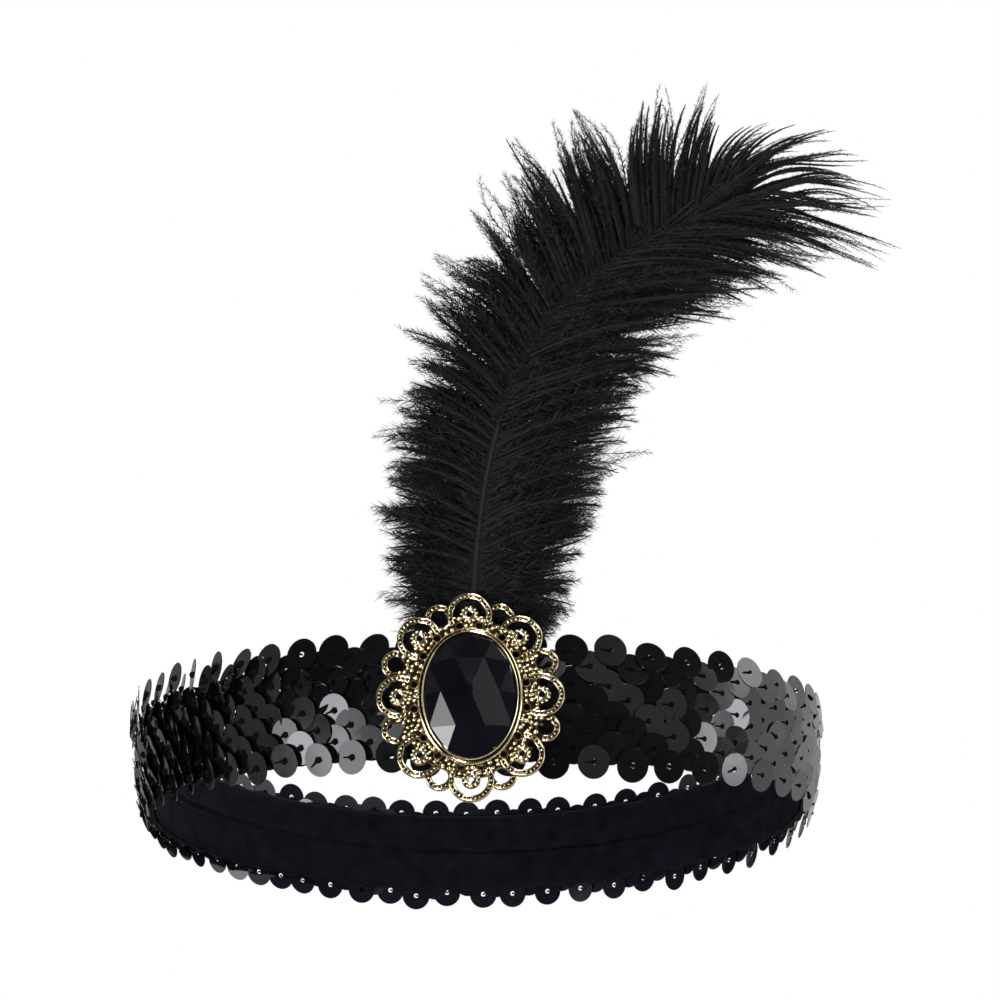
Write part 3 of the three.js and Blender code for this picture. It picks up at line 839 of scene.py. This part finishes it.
# Plume
def quill_at(share):
    """Points of the quill at shares of its length."""
    t = np.linspace(0, 1, 801)[:, None]
    p = np.array(QUILL_CONTROL, float)
    curve = (1 - t) ** 3 * p[0] + 3 * t * (1 - t) ** 2 * p[1] + 3 * t**2 * (1 - t) * p[2] + t**3 * p[3]
    travelled = np.concatenate([[0], np.cumsum(np.linalg.norm(np.diff(curve, axis=0), axis=1))])
    return np.stack([np.interp(share, travelled / travelled[-1], column) for column in curve.T], -1)


def vane_at(share, column):
    table = np.array(VANE, float)
    return np.interp(share, table[:, 0], table[:, VANE_COLUMNS.index(column)])


def pointing(heading, fan):
    """The way of barbs turned from +X towards +Z by a heading and fanned out of that plane, in radians."""
    return np.stack([np.cos(heading) * np.cos(fan), -np.sin(fan), np.sin(heading) * np.cos(fan)], -1)


def barb_way(side, share, swing=0.0, fan=0.0):
    """The way barbs point: swung in the plume's plane and fanned out of it, in radians."""
    heading = np.radians(vane_at(share, f"{side}_heading")) + swing
    return pointing(heading, np.broadcast_to(fan, heading.shape))


def barb_shares(side, rng, count):
    """Where the barbs root: closer together where they fan out, so that their ends are about even."""
    share = np.linspace(VANE[0][0], 1, 400)
    ends = quill_at(share) + barb_way(side, share) * vane_at(share, f"{side}_length")[:, None]
    step = np.linalg.norm(np.diff(ends, axis=0), axis=1) + ROOT_WEIGHT * np.diff(share)
    travelled = np.concatenate([[0], np.cumsum(step)])
    place = (np.arange(count) + 0.25 + 0.5 * rng.random(count)) / count
    return np.interp(place * travelled[-1], travelled, share)


def bend_aside(path, way, amount):
    """Bends paths in the plume's plane, square to the way they point."""
    path[..., 0] -= amount * way[:, 2:]
    path[..., 2] += amount * way[:, :1]


def curve_barbs(root, way, length, rng, bow, wander=1.0):
    """Barbs from their roots along their ways: bowed upwards, with a slight sway and a curl at the end."""
    count = len(root)
    t = BARB_STEPS
    path = root[:, None] + way[:, None] * (length[:, None] * t)[..., None]
    bows = bow + wander * rng.normal(0, BARB.bow_spread, count)
    path[..., 2] += bows[:, None] * length[:, None] * 4 * t * (1 - t)
    sway = rng.normal(0, BARB.sway, count)[:, None] * np.sin(math.tau * t)
    sway = sway + rng.normal(0, BARB.end_sway, count)[:, None] * t**4
    bend_aside(path, way, wander * sway * length[:, None])
    return path


def along(paths, owner, t):
    """The place and the way ahead at a part t of the length of each owner's path."""
    position = t * (paths.shape[1] - 1)
    low = np.minimum(position.astype(int), paths.shape[1] - 2)
    start, end = paths[owner, low], paths[owner, low + 1]
    return start + (end - start) * (position - low)[..., None], unit(end - start)


def fan_share(share):
    """Small near the brooch, where the barbs stay flat, and 1 higher up."""
    return np.clip((share - FLAT.share) / FLAT.range, FLAT.least, 1)


def wisp_ends(side, rng):
    """Where the barbs of one side gather: the root share, the end and the curl of each wisp."""
    count = WISP.count
    share = barb_shares(side, rng, count)
    length = vane_at(share, f"{side}_length") * rng.normal(*WISP.length, count)
    swing = rng.normal(0, WISP.swing, count)
    way = barb_way(side, share, swing, rng.normal(0, WISP.fan, count) * fan_share(share))
    curl = from_table(share, CURL[side]) + rng.normal(0, WISP.curl, count)
    return share, quill_at(share) + way * length[:, None], curl


def barb_paths(side, layer, wisps, rng):
    """Root share, length and path of each barb in one layer of one side."""
    count = layer.barbs
    share = barb_shares(side, rng, count)
    follows = rng.random(count) < from_table(share, GATHERED[side]) * layer.gathered
    shortest = from_table(share, SHORTEST[side])
    others = rng.uniform(shortest, shortest + BARB.length_range, count)
    length = vane_at(share, f"{side}_length") * np.where(follows, 1, others)
    length *= 1 + rng.normal(0, BARB.length_spread, count)
    swing = rng.normal(0, layer.swing, count)
    way = barb_way(side, share, swing, rng.normal(0, BARB.fan, count) * fan_share(share))
    # low on the plume the barbs leave the quill bare in front, and higher up they cover it
    bare = share < QUILL.bare_below
    overlap = np.where(bare, *BARB.overlaps) * rng.random(count)
    root = quill_at(share) - way * overlap[:, None]
    root[:, 1] += np.where(bare, *layer.depths)
    path = curve_barbs(root, way, length, rng, BARB.bow, layer.wander)
    wisp_share, ends, curl = wisps
    nearest = np.abs(wisp_share[None] - share[:, None]).argmin(1)
    goal = root + (ends[nearest] - root) * rng.uniform(*BARB.goal, count)[:, None]
    pull, stray = rng.uniform(*BARB.pull, count), rng.uniform(0, layer.stray, count)
    t = BARB_STEPS
    closing = t ** from_table(share, CLOSING[side])[:, None]
    path += closing[..., None] * ((goal - path[:, -1]) * np.where(follows, pull, stray)[:, None])[:, None]
    bend_aside(path, way, (curl[nearest] * length)[:, None] * t**3)
    return share, length, path


def tuft_paths(rng):
    """The long smooth barbs that run on past the quill's tip, in thin strands that arch over and droop."""
    strands = TUFT.strands
    heading = np.linspace(TUFT.lowest, TUFT.highest, strands)
    heading += rng.normal(0, TUFT.spread, strands)
    reach = from_table(heading, TUFT_LENGTHS) * (1 + rng.normal(0, TUFT.length_spread, strands))
    way = pointing(np.radians(heading), rng.normal(0, TUFT.fan, strands))
    # the strands that point furthest up or down root furthest from the tip
    aside = np.abs(heading - TUFT.middle) / (TUFT.highest - TUFT.middle)
    start_share = np.clip(1 - (1 - TUFT.root) * aside, TUFT.root, 1)
    start = quill_at(start_share)
    span = quill_at(np.ones(strands)) + way * reach[:, None] - start
    full = np.linalg.norm(span, axis=1)
    lines = curve_barbs(start, span / full[:, None], full, rng, TUFT.bow)
    owner = np.repeat(np.arange(strands), TUFT.barbs_each)
    roots = start_share[owner] + rng.normal(0, TUFT.root_spread, len(owner))
    share = np.clip(roots, TUFT.root, 1)
    part = rng.uniform(*TUFT.part, len(owner))
    t = BARB_STEPS
    path, _ = along(lines, owner[:, None], part[:, None] * t)
    path += (quill_at(share) - start[owner])[:, None] * ((1 - t) ** 2)[:, None]
    path += rng.normal(0, TUFT.scatter, (len(owner), 1, 3)) * t[:, None]
    return share, part * full[owner], path


def barbules(share, length, path, rng):
    """Fine strands on both sides of each barb: long and downy low on the plume, short near its tip."""
    per_barb = np.maximum(DOWN.fewest, (length / DOWN.spacing).astype(int))
    owner = np.repeat(np.arange(len(path)), per_barb)
    count = len(owner)
    t = np.concatenate([(np.arange(n) + 0.5) / n for n in per_barb]) * 0.97
    t = np.clip(t + rng.normal(0, 0.004, count), 0.02, 0.99)
    place, ahead = along(path, owner, t)
    across = unit(np.cross(ahead, [0.0, -1.0, 0.0]))
    lift = np.cross(across, ahead)
    roll = rng.normal(0, DOWN.roll, count) + np.where(rng.random(count) < 0.5, 0, math.pi)
    side = across * np.cos(roll)[:, None] + lift * np.sin(roll)[:, None]
    size = from_table(share[owner], DOWN_LENGTH)
    size *= from_table(t, DOWN_TAPER) * rng.uniform(*DOWN.parts, count)
    opening = from_table(t, DOWN_OPENING) + rng.normal(0, DOWN.opening_spread, count)
    opening = np.radians(opening)[:, None]
    way = ahead * np.cos(opening) + side * np.sin(opening)
    droop = rng.normal(0, DOWN.bend_spread, (count, 3)) + [0, 0, DOWN.droop]
    bend = unit(way + DOWN.bend * ahead + droop)
    width = unit(np.cross(way, rng.normal(0, 1, (count, 3)))) * from_table(t, DOWN_HALF_WIDTH)[:, None]
    middle = place + way * (DOWN.middle * size)[:, None]
    end = middle + bend * ((1 - DOWN.middle) * size)[:, None]
    narrow = width * DOWN.middle_width
    points = np.stack([place - width, place + width, middle + narrow, middle - narrow, end], 1)
    n = np.arange(count) * points.shape[1]
    quads = np.stack([n, n + 1, n + 2, n + 3], -1)
    tips = np.stack([n + 3, n + 2, n + 4], -1)
    tone = DOWN.tone * np.repeat(rng.random(count), points.shape[1])
    return points.reshape(-1, 3), [*quads, *tips], tone


def make_barbs(name, paths, material, rng, stem_width=1.0):
    """One layer of barbs, each a thin three-sided stem with down on both sides."""
    share, length, path = paths
    sides = 3
    t = BARB_STEPS
    radii = np.broadcast_to(from_table(t, STEM_RADIUS) * stem_width, path.shape[:2])
    stem_points, stem_faces = tubes(path, radii, sides)
    down_points, down_faces, down_tone = barbules(share, length, path, rng)
    points, faces = joined([(stem_points, stem_faces), (down_points, down_faces)])
    # the broad stems of the under layer are darker than the others
    stem_tone = (0.2 + 0.5 * rng.random(len(share)))[:, None] * from_table(t, STEM_TONE) / stem_width
    tone = np.concatenate([np.repeat(stem_tone.ravel(), sides), down_tone])
    add_piece("ostrich_plume", "plume", f"plume_barbs_{name}", points, faces, material, tone=tone)


def make_quill():
    share = np.linspace(0, 1, QUILL.steps)
    radii = np.interp(share, [0, 1], [QUILL.base_radius, QUILL.tip_radius])
    points, faces = tubes(quill_at(share)[None], radii[None], QUILL.sides)
    tone = np.repeat(np.linspace(0.5, 1, len(share)), QUILL.sides)
    add_piece("ostrich_plume", "plume", "plume_quill", points, faces, barb_material("quill", 0.0), tone=tone)


# Stage: white surroundings, a pale floor below and soft lights
def make_stage():
    material = Shader("floor", Roughness=0.9)
    material.colour(material.noise(3.0, 2.0), FLOOR_COLOURS)
    half, low = FLOOR.half_side, FLOOR.height
    corners = [[-half, -half, low], [half, -half, low], [half, half, low], [-half, half, low]]
    floor = mesh_object("floor", corners, [(0, 1, 2, 3)], material.material)
    floor.visible_glossy = False


def make_world():
    """A white backdrop behind the object, dimmer round its left side, and a dark room in front of it."""
    world = bpy.data.worlds.new("studio")
    world.use_nodes = True
    tree = world.node_tree
    direction = add_node(tree, "ShaderNodeTexCoord").outputs["Generated"]
    parts = add_node(tree, "ShaderNodeSeparateXYZ", {"Vector": direction}).outputs
    behind, beside = (
        add_node(tree, "ShaderNodeMapRange", {"Value": parts[axis], **BACKDROP[axis]}).outputs["Result"]
        for axis in ("Y", "X")
    )
    lit = add_node(tree, "ShaderNodeMath", {0: behind, 1: beside}, operation="MULTIPLY").outputs[0]
    seen = add_node(tree, "ShaderNodeLightPath").outputs["Is Camera Ray"]
    strength = add_node(tree, "ShaderNodeMath", {0: seen, 1: lit}, operation="MAXIMUM").outputs[0]
    tree.links.new(strength, tree.nodes["Background"].inputs["Strength"])
    tree.nodes["Background"].inputs["Color"].default_value = (1, 1, 1, 1)
    bpy.context.scene.world = world


def make_lights():
    for name, place, size, radiance in LIGHTS:
        light = bpy.data.lights.new(name, "AREA")
        light.shape = "RECTANGLE"
        light.size, light.size_y = size
        light.energy = radiance * math.pi * light.size * light.size_y
        lamp = add_object(name, light)
        lamp.location = place
        lamp.rotation_euler = (-Vector(place)).to_track_quat("-Z", "Y").to_euler()
        lamp.visible_camera = False
    wash = bpy.data.lights.new("floor_wash", "SUN")
    wash.energy, wash.angle = FLOOR_WASH.energy, FLOOR_WASH.angle
    add_object("floor_wash", wash).visible_glossy = False


def make_camera():
    data = bpy.data.cameras.new("camera")
    data.sensor_width = 36.0
    data.lens = CAMERA.lens
    data.clip_start, data.clip_end = 0.01, 50
    camera = add_object("camera", data)
    place, aim = Vector(CAMERA.place) * MM, Vector(CAMERA.aim) * MM
    turn = (aim - place).to_track_quat("-Z", "Y").to_matrix()
    roll = Matrix.Rotation(math.radians(CAMERA.roll), 3, "Z")
    camera.matrix_world = Matrix.Translation(place) @ (turn @ roll).to_4x4()
    bpy.context.scene.camera = camera


def main():
    rng = np.random.default_rng(SEED)
    make_camera()
    make_tape()
    frames = sequin_places(rng)
    make_sequins(frames, rng)
    make_sequin_threads(frames, rng)
    make_backing()
    make_brooch(rng)
    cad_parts["stone"].data.materials.clear()
    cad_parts["stone"].data.materials.append(stone_material())
    make_quill()
    barbs = barb_material("barbs", 0.02)
    for side in ("left", "right"):
        wisps = wisp_ends(side, rng)
        for name, layer in LAYERS.items():
            paths = barb_paths(side, layer, wisps, rng)
            make_barbs(f"{side}_{name}", paths, barbs, rng, layer.stem_width)
    make_barbs("tip", tuft_paths(rng), barbs, rng)
    make_stage()
    make_world()
    make_lights()
    bpy.context.scene.view_settings.view_transform = "Standard"


main()
